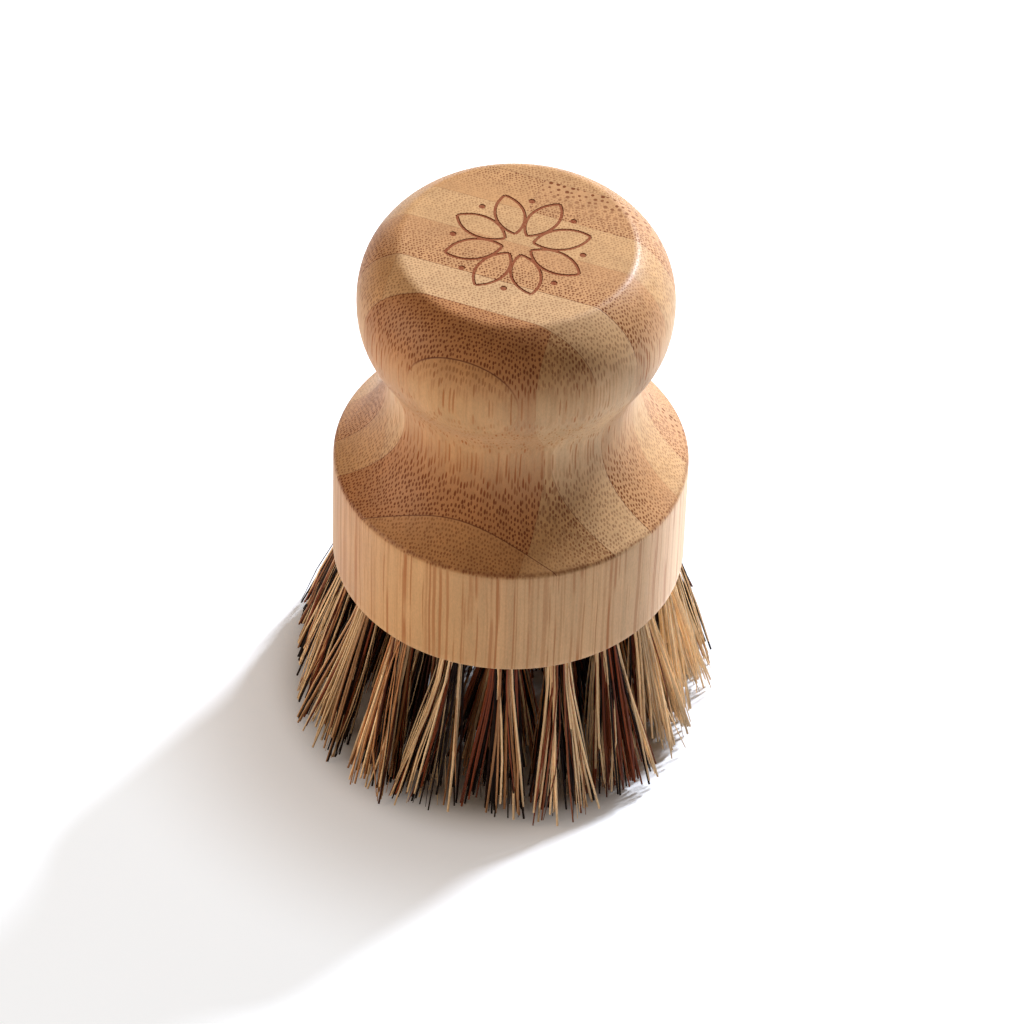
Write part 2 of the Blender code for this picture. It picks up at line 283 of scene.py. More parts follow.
def handle_profile(sizes):
    """The turned outline as (radius, height), with a close loop beside each edge that keeps the flats flat."""
    underside, rim, neck, knob, top = handle_heights(sizes)
    base_radius, neck_radius, knob_radius, top_radius = (
        getattr(sizes, f"{part}_radius") for part in ("base", "neck", "knob", "top")
    )
    hold = HOLD_ROUNDS * sizes.edge_round
    rise_share, across_share, drop_share = CROWN_BEND_SHARES
    crown = curve_points(
        (top_radius, top),
        (top_radius + across_share * (knob_radius - top_radius), top - drop_share * sizes.crown_height),
        (knob_radius, knob + rise_share * sizes.crown_height),
        (knob_radius, knob),
        sizes.curve_steps,
    )
    neck_share, knob_share = WAIST_BEND_SHARES
    waist = curve_points(
        (knob_radius, knob),
        (knob_radius, knob - knob_share * sizes.waist_height),
        (neck_radius, neck + neck_share * sizes.waist_height),
        (neck_radius, neck),
        sizes.curve_steps,
    )
    in_share, up_share, down_share = SHOULDER_BEND_SHARES
    shoulder = curve_points(
        (neck_radius, neck),
        (neck_radius, neck - down_share * sizes.shoulder_height),
        (base_radius - in_share * (base_radius - neck_radius), rim + up_share * sizes.shoulder_height),
        (base_radius, rim),
        sizes.curve_steps,
    )
    flat = [(0, top), (top_radius - hold, top), (top_radius, top)]
    wall = [(base_radius, rim - hold), (base_radius, underside + hold), (base_radius, underside)]
    return [*flat, *crown, *waist, *shoulder, *wall, (base_radius - hold, underside), (0, underside)]


def turned(profile, sides, edge_round):
    """A closed solid turned about +Z from a profile that starts and ends on the axis, its sharp edges rounded."""
    bm = bmesh.new()
    verts = [bm.verts.new((radius, 0, height)) for radius, height in profile]
    edges = [bm.edges.new(pair) for pair in zip(verts, verts[1:])]
    bmesh.ops.spin(
        bm, geom=verts + edges, cent=(0, 0, 0), axis=(0, 0, 1), angle=2 * math.pi, steps=sides, use_merge=True
    )
    on_axis = [vert for vert in bm.verts if vert.co.xy.length < edge_round / sides]
    bmesh.ops.remove_doubles(bm, verts=on_axis, dist=edge_round)
    bmesh.ops.recalc_face_normals(bm, faces=bm.faces)
    sharp = [edge for edge in bm.edges if edge.is_manifold and edge.calc_face_angle() > ROUNDED_EDGE]
    bmesh.ops.bevel(
        bm,
        geom=sharp,
        offset=edge_round,
        affect="EDGES",
        segments=ROUND_SEGMENTS,
        profile=0.5,
        material=-1,
        clamp_overlap=True,
    )
    top = max(vert.co.z for vert in bm.verts)
    cap = [face for face in bm.faces if all(top - vert.co.z < edge_round / sides for vert in face.verts)]
    bmesh.ops.dissolve_faces(bm, faces=cap)
    return bm


def frame_of(*columns):
    """The matrix whose columns are these three axes and this place."""
    matrix = Matrix.Identity(4)
    for column, vector in enumerate(columns):
        matrix.col[column].xyz = vector
    return matrix


def tuft_places(sizes, tufts):
    """For each tuft: its name, its hole's frame with Z into the wood, its tip centre, and its fan's half widths."""
    underside = handle_heights(sizes)[0]
    row_radius = sizes.base_radius - tufts.hole_edge_wall - tufts.hole_diameter / 2
    tip_radius = sizes.base_radius + tufts.tip_overhang
    places = []
    for row, count, root_share, tip_share, side_share, along_share in TUFT_ROW_SHARES:
        for index in range(count):
            angle = 2 * math.pi * index / count - math.pi / 2
            outward = Vector((math.cos(angle), math.sin(angle), 0))
            sideways = Vector((-outward.y, outward.x, 0))
            mouth = outward * row_radius * root_share + Vector((0, 0, underside))
            tip = outward * tip_radius * tip_share
            into_wood = (mouth - tip).normalized()
            hole = frame_of(sideways.cross(into_wood), sideways, into_wood, mouth)
            fan = (outward * tip_radius * along_share, sideways * tip_radius * side_share)
            places.append((f"{row}_{index + 1:02d}", hole, tip, fan))
    return places


def add_round(bm, sides, radius, depth, matrix):
    return bmesh.ops.create_cone(
        bm, cap_ends=True, segments=sides, radius1=radius, radius2=radius, depth=depth, matrix=matrix
    )


def drill_cutter(places, tufts):
    """One mesh of all the drill's strokes, each a round with a pointed end."""
    bm = bmesh.new()
    radius = tufts.hole_diameter / 2
    depth = tufts.hole_depth + radius
    for _, hole, _, _ in places:
        place = hole @ Matrix.Translation((0, 0, tufts.hole_depth - depth / 2))
        made = add_round(bm, DRILL_SIDES, radius, depth, place)
        inward = hole.col[2].xyz
        ends = {face for vert in made["verts"] for face in vert.link_faces if face.normal.dot(inward) > END_SHARE}
        point = bmesh.ops.poke(bm, faces=list(ends))["verts"]
        bmesh.ops.translate(bm, verts=point, vec=inward * radius / math.tan(DRILL_POINT))
    return bm


def slot_cutter(places, tufts):
    """The cuts that each staple's two ends make in the wood."""
    bm = bmesh.new()
    gap = tufts.fit_gap
    size = (tufts.staple_length + 2 * gap, tufts.staple_thickness + 2 * gap, tufts.staple_width + 2 * gap)
    height = tufts.hole_depth - tufts.fold_thickness - tufts.staple_width / 2
    for _, hole, _, _ in places:
        place = hole @ Matrix.Translation((0, 0, height)) @ Matrix.Diagonal((*size, 1))
        bmesh.ops.create_cube(bm, size=1, matrix=place)
    return bm


def petal_cutters(motif, top):
    """Lens-shaped petals drawn as fine grooves: two arcs each, meeting at a point near the rim of the flower."""
    bm = bmesh.new()
    low, high = top - motif.line_depth, top + motif.line_depth
    for petal in range(motif.petals):
        turn = 2 * math.pi * petal / motif.petals + motif.turn
        for side in (-1, 1):
            add_arc(bm, motif, turn, side, low, high)
        between = Matrix.Rotation(turn + math.pi / motif.petals, 4, "Z")
        place = between @ Matrix.Translation((motif.dot_ring, 0, top))
        add_round(bm, DOT_SIDES, motif.dot_radius, high - low, place)
    bmesh.ops.recalc_face_normals(bm, faces=bm.faces)
    return bm


def add_arc(bm, motif, turn, side, low, high):
    """One side of a petal: a small upright rectangle swept about a point beside the petal, its ends closed."""
    half = motif.line_width / 2
    half_chord = (motif.outer_radius - motif.inner_radius) / 2
    bulge = motif.petal_bulge
    radius = (half_chord**2 + bulge**2) / (2 * bulge)
    about = Matrix.Rotation(turn, 3, "Z")
    centre = about @ Vector((motif.inner_radius + half_chord, -side * (radius - bulge), 0))
    sweep = 2 * math.asin(half_chord / radius)
    start = math.pi / 2 * side - sweep / 2
    along = about @ Vector((math.cos(start), math.sin(start), 0))
    corners = ((radius - half, low), (radius + half, low), (radius + half, high), (radius - half, high))
    verts = [bm.verts.new(centre + along * reach + Vector((0, 0, height))) for reach, height in corners]
    edges = [bm.edges.new(pair) for pair in zip(verts, verts[1:] + verts[:1])]
    swept = bmesh.ops.spin(
        bm, geom=verts + edges, cent=centre, axis=(0, 0, 1), angle=sweep, steps=motif.arc_steps, use_merge=False
    )
    ends = edges + [item for item in swept["geom_last"] if isinstance(item, bmesh.types.BMEdge)]
    bmesh.ops.holes_fill(bm, edges=ends, sides=len(corners))


def walls_between(places, tufts):
    """For each tuft, the planes halfway to its neighbours: a place on each, its slope and its level way out."""
    walls = {name: [] for name, *_ in places}
    for name, hole, tip, _ in places:
        for _, other_hole, other_tip, _ in places:
            way = other_tip - tip
            if 0 < way.length < NEIGHBOUR_REACH:
                out = way.normalized()
                halfway = (tip + other_tip) / 2 + Vector(tufts.tips_shift)
                rise = (hole.col[3].xyz + other_hole.col[3].xyz) / 2 - halfway
                normal = rise.cross(Vector((-out.y, out.x, 0)))
                walls[name].append((halfway, normal / normal.dot(out), out))
    return walls


def kept_within(point, walls, clear, bounce=0.0):
    """The point moved level with the ground, so that it lies this far inside all of a tuft's walls."""
    for share in (bounce, *[0] * (PUSHES - 1)):
        for place, slope, out in walls:
            past = (point - place).dot(slope) + clear
            if past > 0:
                point = point - out * past * (1 + share)
    return point


def strand_path(hole, tips, roots, walls, clear, bow, tufts, chance):
    """Centre points of one folded strand: up from one tip, over the staple inside the fold, down to the other."""
    rise = tufts.hole_depth - tufts.fold_thickness
    (x_one, y_one), (x_two, y_two) = roots
    top = rise + tufts.fit_gap + FOLD_STACK_SHARE * (abs(y_one) + abs(y_two)) / 2
    middle = ((x_one + x_two) / 2, 0, top)
    inside = ((x_one, y_one, 0), (x_one, y_one, rise), middle, (x_two, y_two, rise), (x_two, y_two, 0))
    inside = [hole @ Vector(point) for point in inside]
    out = -hole.col[2].xyz
    legs = []
    for mouth, tip in zip((inside[0], inside[-1]), tips):
        span = tip - mouth
        sway = Vector([chance.gauss(0, spread) for spread in (1, 1, LIFT_SWAY)]) * bow
        leave = kept_within(mouth + out * span.length * LEAVE_SHARE + sway * LEAVE_SWAY, walls, clear)
        arrive = kept_within(mouth + span * ARRIVE_SHARE + sway, walls, clear)
        points = []
        for step in range(1, tufts.leg_steps + 1):
            t = step / tufts.leg_steps
            r = 1 - t
            points.append(mouth * r**3 + leave * 3 * r * r * t + arrive * 3 * r * t * t + tip * t**3)
        legs.append(points)
    return [*reversed(legs[0]), *inside, *legs[1]]


def strand_tubes(bm, strands, sides):
    """Many thin tubes with as many rings as their paths have points, each ring square to its path."""
    look = bm.verts.layers.float_color.new("strand")
    owner = bm.verts.layers.int.new("owner")
    corner = bm.verts.layers.int.new("corner")
    edges = []
    for number, strand in enumerate(strands):
        ring = bmesh.ops.create_circle(bm, cap_ends=False, radius=strand["radius"], segments=sides)["verts"]
        for place, vert in enumerate(ring):
            vert[owner] = number
            vert[corner] = place
        edges += list({edge for vert in ring for edge in vert.link_edges})
    rings = [bm.verts[:]]
    ends = [edges]
    for _ in range(len(strands[0]["path"]) - 1):
        grown = bmesh.ops.extrude_edge_only(bm, edges=edges)["geom"]
        fresh = [item for item in grown if isinstance(item, bmesh.types.BMVert)]
        new = set(fresh)
        edges = [item for item in grown if isinstance(item, bmesh.types.BMEdge) and new.issuperset(item.verts)]
        rings.append(fresh)
    ends.append(edges)

    frames = [ring_frames(strand["path"]) for strand in strands]
    last = len(rings) - 1
    for index, ring in enumerate(rings):
        from_end = min(index, last - index)
        for vert in ring:
            strand = strands[vert[owner]]
            across, beside = frames[vert[owner]][index]
            angle = 2 * math.pi * vert[corner] / sides
            radius = strand["radius"] * (strand["tip_share"] if from_end == 0 else 1)
            vert.co = strand["path"][index] + (across * math.cos(angle) + beside * math.sin(angle)) * radius
            vert[look] = (strand["kind"], strand["tone"], from_end / last, 1)
    for loop in ends:
        bmesh.ops.holes_fill(bm, edges=loop, sides=sides)


def ring_frames(path):
    """For each point of a path, two directions square to it that don't twist along the way."""
    frames = []
    across = Vector(RING_START)
    last = len(path) - 1
    for index in range(last + 1):
        heading = (path[min(index + 1, last)] - path[max(index - 1, 0)]).normalized()
        across = (across - heading * across.dot(heading)).normalized()
        frames.append((across, heading.cross(across)))
    return frames


def tuft_mesh(name, hole, tip, fan, walls, mix, tufts):
    """One bunch: strands that fill the hole's round, folded over the staple, fanned out to uneven ends."""
    chance = random.Random(f"tuft {name}")
    bounce = random.Random(f"walls {name}")
    reach = tufts.hole_diameter / 2 - tufts.fit_gap - tufts.strand_radius
    lowest = tufts.staple_thickness / 2 + tufts.strand_radius + tufts.staple_room
    widest = [min(-CAD_BOX[0][axis], CAD_BOX[1][axis]) - 2 * tufts.strand_radius for axis in (0, 1)]
    lean = [chance.gauss(0, spread) for spread in LEAN_SPREADS]
    tightness = [chance.uniform(*span) for span in TIGHTNESS_SPANS]
    clumps = clumps_of(mix, tufts.clumps, chance)
    outer = name.startswith("outer")
    count = tufts.strands if outer else tufts.inner_strands
    widening = tufts.fan_widening if outer else tufts.inner_widening
    strands = []
    for index in range(count):
        spread = math.sqrt((index + 0.5) / count)
        angle = index * math.pi * GOLDEN_SHARE % math.pi
        x = reach * spread * math.cos(angle)
        y = max(reach * spread * math.sin(angle), lowest)
        thin = chance.random() < tufts.thin_share
        radii, tip_share, sway_factor, short_factor = THIN_STRANDS if thin else THICK_STRANDS
        radius = tufts.strand_radius * chance.uniform(*radii)
        clear = radius * CLEAR_SHARE + tufts.bunch_room
        clump = min(clumps, key=lambda one: math.hypot(one["x"] - x / reach, one["y"] - y / reach))
        loose = chance.random() < tufts.loose_share * LOOSE_FACTORS[0 if x > 0 else 1]
        pull, scatter = (0.0, LOOSE_SCATTER) if loose else (tufts.clump_pull, CLUMP_SCATTER)
        tips = []
        for side, drift in zip((1, -1), clump["drifts"]):
            along, across = x / reach * tightness[0] + lean[0], side * y / reach * tightness[1] + lean[1]
            along += pull * (clump["x"] - x / reach) + drift[0] + chance.gauss(0, STRAY_SPREAD)
            across += pull * side * (clump["y"] - y / reach) + drift[1] + chance.gauss(0, scatter)
            end = tip + Vector(tufts.tips_shift) + fan[0] * along + fan[1] * across * widening
            end.z = radius
            end = kept_within(end, walls, clear, bounce.random())
            past = max(abs(end.x) / widest[0], abs(end.y) / widest[1], end.xy.length / tufts.longest_reach)
            if past > 1:
                end = kept_within(end / (past * (1 + TRIM_SPREAD * chance.random())), walls, clear)
                end.z = radius
            short = tufts.uneven_ends * chance.random() ** SHORT_POWER * short_factor
            mouth = hole @ Vector((x, side * y, 0))
            tips.append(end + (mouth - end).normalized() * (short + clump["short"]))
        if loose:
            kind = kind_of(chance.random() ** LOOSE_KIND_POWER, mix, chance)
        else:
            kind = clump["kind"] + chance.uniform(-CLUMP_KIND_SPREAD, CLUMP_KIND_SPREAD)
        path = strand_path(hole, tips, ((x, y), (x, -y)), walls, clear, tufts.sway * sway_factor, tufts, chance)
        tone = chance.random()
        strands.append({"path": path, "radius": radius, "tip_share": tip_share, "kind": kind, "tone": tone})
    bm = bmesh.new()
    strand_tubes(bm, strands, tufts.strand_sides)
    bmesh.ops.recalc_face_normals(bm, faces=bm.faces)
    return bm


def clumps_of(mix, count, chance):
    """Places in a bunch's half round, each with a colour, and how its two ends drift and fall short."""
    order = [(number + chance.random()) / count for number in range(count)]
    chance.shuffle(order)
    clumps = []
    for pattern in order:
        angle, spread = chance.uniform(0, math.pi), math.sqrt(chance.random())
        clumps.append(
            {
                "x": spread * math.cos(angle),
                "y": spread * math.sin(angle),
                "kind": kind_of(pattern, (mix[0] ** CLUMP_STRAW_POWER, *mix[1:]), chance),
                "drifts": [[chance.gauss(0, drift) for drift in DRIFT_SPREADS] for _ in range(2)],
                "short": CLUMP_SHORTFALL * chance.random() ** SHORT_CLUMP_POWER,
            }
        )
    return clumps


def kind_of(pattern, mix, chance):
    """Turns an even number from 0 to 1 into a strand's place between straw, ginger, russet and black."""
    most = 0
    for share, span in zip((*mix, 1), KIND_RANGES):
        most += share
        if pattern < most:
            break
    return chance.uniform(*span)


def new_object(name, bm, *materials, sharp=SHARP_EDGE):
    mesh = bpy.data.meshes.new(name)
    bm.to_mesh(mesh)
    bm.free()
    mesh.shade_smooth()
    mesh.set_sharp_from_angle(angle=sharp)
    for material in materials:
        mesh.materials.append(material)
    piece = bpy.data.objects.new(name, mesh)
    bpy.context.scene.collection.objects.link(piece)
    return piece


def cut_out(piece, *cutters):
    """Cuts each cutter's mesh out of the piece, keeps the result as its mesh, and clears the cutters away."""
    for index, cutter in enumerate(cutters):
        cut = piece.modifiers.new(f"cut_{index}", "BOOLEAN")
        cut.operation = "DIFFERENCE"
        cut.solver = "EXACT"
        cut.use_self = True
        cut.object = cutter
    bpy.context.view_layer.update()
    evaluated = piece.evaluated_get(bpy.context.evaluated_depsgraph_get())
    result = bpy.data.meshes.new_from_object(evaluated)
    piece.modifiers.clear()
    old = piece.data
    result.name = old.name
    piece.data = result
    bpy.data.meshes.remove(old)
    for cutter in cutters:
        mesh = cutter.data
        bpy.data.objects.remove(cutter)
        bpy.data.meshes.remove(mesh)
    result.set_sharp_from_angle(angle=CUT_EDGE)
    for face in result.polygons:
        if abs(face.normal.z) > LEVEL_SHARE:
            face.use_smooth = False


# Materials


class Nodes:
    """Builds one node tree. What feeds an input is a plain value, or the output of a node made before."""

    def __init__(self, tree):
        self.tree = tree

    def feed(self, node, inputs):
        for label, value in dict(inputs).items():
            if isinstance(value, bpy.types.NodeSocket):
                self.tree.links.new(value, node.inputs[label])
            else:
                node.inputs[label].default_value = value
        return node

    def add(self, kind, inputs=(), **settings):
        node = self.tree.nodes.new(f"ShaderNode{kind}")
        for name, setting in settings.items():
            setattr(node, name, setting)
        return self.feed(node, inputs)

    def math(self, operation, *operands, clamp=False):
        return self.add("Math", enumerate(operands), operation=operation, use_clamp=clamp).outputs[0]

    def plus(self, first, *others):
        for other in others:
            first = self.math("ADD", first, other)
        return first

    def minus(self, one, other):
        return self.math("SUBTRACT", one, other)

    def times(self, first, *others):
        for other in others:
            first = self.math("MULTIPLY", first, other)
        return first

    def line(self, value, slope, start):
        return self.plus(self.times(value, slope), start)

    def between(self, share, low, high):
        return self.plus(low, self.times(share, self.minus(high, low)))

    def apart(self, one, other):
        return self.math("ABSOLUTE", self.minus(one, other))

    def vector(self, operation, *operands):
        node = self.add("VectorMath", enumerate(operands), operation=operation)
        return node.outputs["Value" if operation in ("LENGTH", "DOT_PRODUCT") else "Vector"]

    def split(self, vector):
        return self.add("SeparateXYZ", {0: vector}).outputs

    def joined(self, *numbers):
        return self.add("CombineXYZ", enumerate(numbers)).outputs[0]

    def channels(self, colour):
        return self.add("SeparateColor", {0: colour}).outputs

    def mix(self, share, low, high, blend="MIX"):
        """Blends two colours. One given as a plain value is opaque. The node's colour inputs are its 6 and 7."""
        low, high = (one if isinstance(one, bpy.types.NodeSocket) else (*one, 1) for one in (low, high))
        return self.add("Mix", {0: share, 6: low, 7: high}, data_type="RGBA", blend_type=blend).outputs[2]

    def mix_numbers(self, share, low, high):
        return self.add("Mix", {0: share, 2: low, 3: high}, data_type="FLOAT").outputs[0]

    def step(self, value, low, high, at_low=0.0, at_high=1.0):
        inputs = enumerate((value, low, high, at_low, at_high))
        return self.add("MapRange", inputs, interpolation_type="SMOOTHSTEP").outputs[0]

    def noise(self, place, waves, detail, roughness, output="Fac"):
        place = self.vector("MULTIPLY", place, waves)
        inputs = {"Vector": place, "Scale": 1.0, "Detail": detail, "Roughness": roughness}
        return self.add("TexNoise", inputs, noise_dimensions="3D").outputs[output]

    def table(self, position, rows):
        """Looks a row of three or four numbers up by its place in the table, from 0 to 1."""
        node = self.add("ValToRGB", {0: position})
        ramp = node.color_ramp
        ramp.interpolation = "CONSTANT"
        while len(ramp.elements) < len(rows):
            ramp.elements.new(0.5)
        for index in range(len(rows)):
            ramp.elements[index].position = index / len(rows)
        for element, row in zip(ramp.elements, rows):
            element.color = (*row, 1)[:4]
        return node.outputs

    def bump(self, strength, distance, height):
        return self.add("Bump", {"Strength": strength, "Distance": distance, "Height": height}).outputs[0]

    def place(self):
        return self.add("TexCoord").outputs["Object"]

    def group(self, name, **inputs):
        return self.add("Group", inputs, node_tree=bpy.data.node_groups[name]).outputs


def group_tree(name, inputs, outputs):
    tree = bpy.data.node_groups.new(name, "ShaderNodeTree")
    for label, kind, value in inputs:
        socket = tree.interface.new_socket(name=label, in_out="INPUT", socket_type=f"NodeSocket{kind}")
        if value is not None:
            socket.default_value = value
    for label, kind in outputs:
        tree.interface.new_socket(name=label, in_out="OUTPUT", socket_type=f"NodeSocket{kind}")
    return Nodes(tree), tree.nodes.new("NodeGroupInput").outputs, tree.nodes.new("NodeGroupOutput")


def veins_group():
    """Round fibre bundles that run up through the wood, loosely in rows like a honeycomb's."""
    nodes, given, made = group_tree(
        "bamboo_veins",
        (("Vector", "Vector", None), ("Pitch", "Float", VEIN_PITCH_MM), ("Width", "Float", VEIN_WIDTH_MM)),
        (("Mask", "Float"), ("Random", "Float")),
    )
    pitch = given["Pitch"]
    x, y, _ = nodes.split(given["Vector"])
    row_height = math.sqrt(3) / 2
    row = nodes.math("DIVIDE", nodes.math("DIVIDE", y, row_height), pitch)
    column = nodes.minus(nodes.math("DIVIDE", x, pitch), nodes.times(row, 0.5))
    inputs = {"Vector": nodes.joined(column, row), "Randomness": VEIN_DISORDER, "Scale": 1}
    cells = nodes.add("TexVoronoi", inputs, voronoi_dimensions="2D", feature="F1").outputs
    across, up, _ = nodes.split(cells["Position"])
    centre_x = nodes.times(nodes.plus(across, nodes.times(up, 0.5)), pitch)
    centre_y = nodes.times(up, row_height, pitch)
    distance = nodes.vector("LENGTH", nodes.joined(nodes.minus(centre_x, x), nodes.minus(centre_y, y)))
    size_chance, chance, _ = nodes.channels(cells["Color"])
    size = nodes.times(given["Width"], nodes.line(size_chance, *VEIN_SIZE_LINE))
    inner, outer = (nodes.times(size, share) for share in VEIN_EDGES)
    nodes.feed(made, {"Mask": nodes.step(distance, inner, outer, 1.0, 0.0), "Random": chance})
    return nodes.tree


def coded(length, code):
    """A length in mm as a number from 0 to 1 in a colour ramp's table."""
    zero, span = code
    return (length + zero) / span


def staves_group():
    """Which glued strip a point lies in, and that strip's colour, veins and seams."""
    nodes, given, made = group_tree(
        "bamboo_staves",
        (("Vector", "Vector", None), ("Seam Width", "Float", SEAM_WIDTH_MM)),
        (
            ("Colour", "Color"),
            ("Fine Veins", "Float"),
            ("Coarse Veins", "Float"),
            ("Seam", "Float"),
            ("Plan", "Vector"),
        ),
    )
    cos, sin = math.cos(STRIPS_TURN), math.sin(STRIPS_TURN)
    s, t = (nodes.vector("DOT_PRODUCT", given["Vector"], way) for way in ((cos, sin, 0), (-sin, cos, 0)))

    number = 0.0
    seam = 0.0
    for place, strength in zip(SEAMS_MM, SEAM_STRENGTHS):
        number = nodes.plus(number, nodes.math("GREATER_THAN", s, place))
        line = nodes.step(nodes.apart(s, place), 0.0, given["Seam Width"], strength, 0.0)
        seam = nodes.math("MAXIMUM", seam, line)
    position = nodes.math("DIVIDE", nodes.plus(number, 0.5), float(len(STRIPS)))

    edges = (SEAMS_MM[0] - OUTER_STRIPS_MM[0], *SEAMS_MM, SEAMS_MM[-1] + OUTER_STRIPS_MM[1])
    places = [
        (coded(low, PLACE_CODE), coded(high - low, WIDTH_CODE), coded(strip[0], BUTT_CODE))
        for low, high, strip in zip(edges, edges[1:], STRIPS)
    ]
    codes = nodes.channels(nodes.table(position, places)["Color"])
    start = nodes.minus(nodes.times(codes[0], PLACE_CODE[1]), PLACE_CODE[0])
    width = nodes.times(codes[1], WIDTH_CODE[1])
    butt = nodes.minus(nodes.times(codes[2], BUTT_CODE[1]), BUTT_CODE[0])
    share = nodes.math("DIVIDE", nodes.minus(s, start), width, clamp=True)
    right = nodes.math("GREATER_THAN", t, butt)
    butt_line = nodes.step(nodes.apart(t, butt), 0.0, given["Seam Width"], BUTT_STRENGTH, 0.0)

    colours, vein_colours, vein_alphas = [], [], []
    for half in (1, -1):
        colours.append(nodes.table(position, [strip[half][0] for strip in STRIPS])["Color"])
        strengths = nodes.table(position, [strip[half][1] for strip in STRIPS])
        vein_colours.append(strengths["Color"])
        vein_alphas.append(strengths["Alpha"])
    back, front, coarse_back = nodes.channels(nodes.mix(right, *vein_colours))
    coarse_front = nodes.mix_numbers(right, *vein_alphas)
    shift = nodes.plus(nodes.times(number, STRIP_JUMP), nodes.times(right, BUTT_JUMP))
    outputs = {
        "Colour": nodes.mix(right, *colours),
        "Fine Veins": nodes.between(share, back, front),
        "Coarse Veins": nodes.between(share, coarse_back, coarse_front),
        "Seam": nodes.math("MAXIMUM", seam, butt_line),
        "Plan": nodes.joined(nodes.plus(t, shift), nodes.plus(s, shift)),
    }
    nodes.feed(made, outputs)
    return nodes.tree


def fresh_material(name):
    material = bpy.data.materials.new(name)
    material.use_nodes = True
    tree = material.node_tree
    return material, Nodes(tree), tree.nodes["Principled BSDF"]


def bamboo_material(looks, rim, burnt):
    """Sanded and oiled bamboo. The burnt variant is what a hot tool leaves at the bottom of a groove."""
    material, nodes, shader = fresh_material("burnt_bamboo" if burnt else "oiled_bamboo")
    millimetres = nodes.vector("MULTIPLY", nodes.place(), [MM_PER_M] * 3)
    rim_mm = MM_PER_M * rim
    height = nodes.split(millimetres)[2]
    end_grain = nodes.step(nodes.split(nodes.add("TexCoord").outputs["Normal"])[2], *END_GRAIN_STEP)
    on_wall = nodes.step(height, rim_mm - RIM_SOFTNESS, rim_mm + RIM_SOFTNESS, 1.0, 0.0)
    threads = nodes.noise(millimetres, *THREADS_NOISE)
    strips = nodes.group("bamboo_staves", Vector=millimetres)
    vein = vein_mask(nodes, looks, millimetres, height, end_grain, on_wall, strips)

    tone = nodes.plus(
        nodes.step(threads, *THREADS_STEP),
        nodes.step(nodes.noise(millimetres, *BANDS_NOISE), *BANDS_STEP),
        nodes.step(nodes.noise(millimetres, *CLOUD_NOISE), *BANDS_STEP),
        nodes.step(nodes.noise(millimetres, *PORES_NOISE), *PORES_STEP, -looks.pore_share, looks.pore_share),
    )
    side_share = nodes.line(on_wall, looks.wall_share - looks.side_share, looks.side_share)
    side_wood = nodes.mix(side_share, strips["Colour"], looks.side_colour)
    shaded = {
        "Color": nodes.mix(end_grain, side_wood, strips["Colour"]),
        "Value": nodes.line(tone, looks.tone_variation, 1.0),
    }
    wood = nodes.add("HueSaturation", shaded).outputs[0]
    wood = nodes.mix(end_grain, wood, nodes.mix(1.0, wood, looks.end_tint, "MULTIPLY"))
    wood = nodes.mix(vein, wood, nodes.mix(end_grain, looks.streak_colour, looks.vein_colour))
    seam_colour = nodes.mix(end_grain, looks.streak_colour, looks.seam_colour)
    wood = nodes.mix(nodes.times(strips["Seam"], nodes.line(end_grain, *SEAM_LINE)), wood, seam_colour)
    near_rim = nodes.step(nodes.apart(height, rim_mm + RIM_MARK_RISE), 0.0, RIM_MARK_WIDTH, looks.rim_mark, 0.0)
    rubbed = nodes.step(nodes.noise(millimetres, *RUBBED_NOISE), *RUBBED_STEP)
    wood = nodes.mix(nodes.times(near_rim, rubbed), wood, looks.vein_colour)
    if burnt:
        wood = nodes.mix(nodes.step(nodes.noise(millimetres, *CHAR_NOISE), *CHAR_STEP), wood, looks.burnt_colour)

    relief = nodes.minus(nodes.times(threads, THREAD_RELIEF), nodes.times(vein, VEIN_RELIEF))
    relief = nodes.minus(relief, nodes.times(strips["Seam"], SEAM_RELIEF))
    worn = nodes.plus(looks.roughness, nodes.times(vein, VEIN_ROUGHNESS), nodes.times(threads, THREAD_ROUGHNESS))
    glossy = nodes.minus(1.0, nodes.times(vein, VEIN_GLOSS_LOSS))
    inputs = {
        "Base Color": wood,
        "Roughness": worn,
        "Normal": nodes.bump(*WOOD_BUMP, relief),
        "Coat Weight": 0.0 if burnt else COAT,
        "Coat Roughness": COAT_ROUGHNESS,
        "Specular IOR Level": nodes.times(glossy, BURNT_GLOSS if burnt else GLOSS),
    }
    nodes.feed(shader, inputs)
    if not burnt:
        sheen = nodes.line(on_wall, *SHEEN_LINE)
        nodes.feed(shader, {"Sheen Weight": sheen, "Sheen Roughness": SHEEN_ROUGHNESS, "Sheen Tint": SHEEN_TINT})
    return material


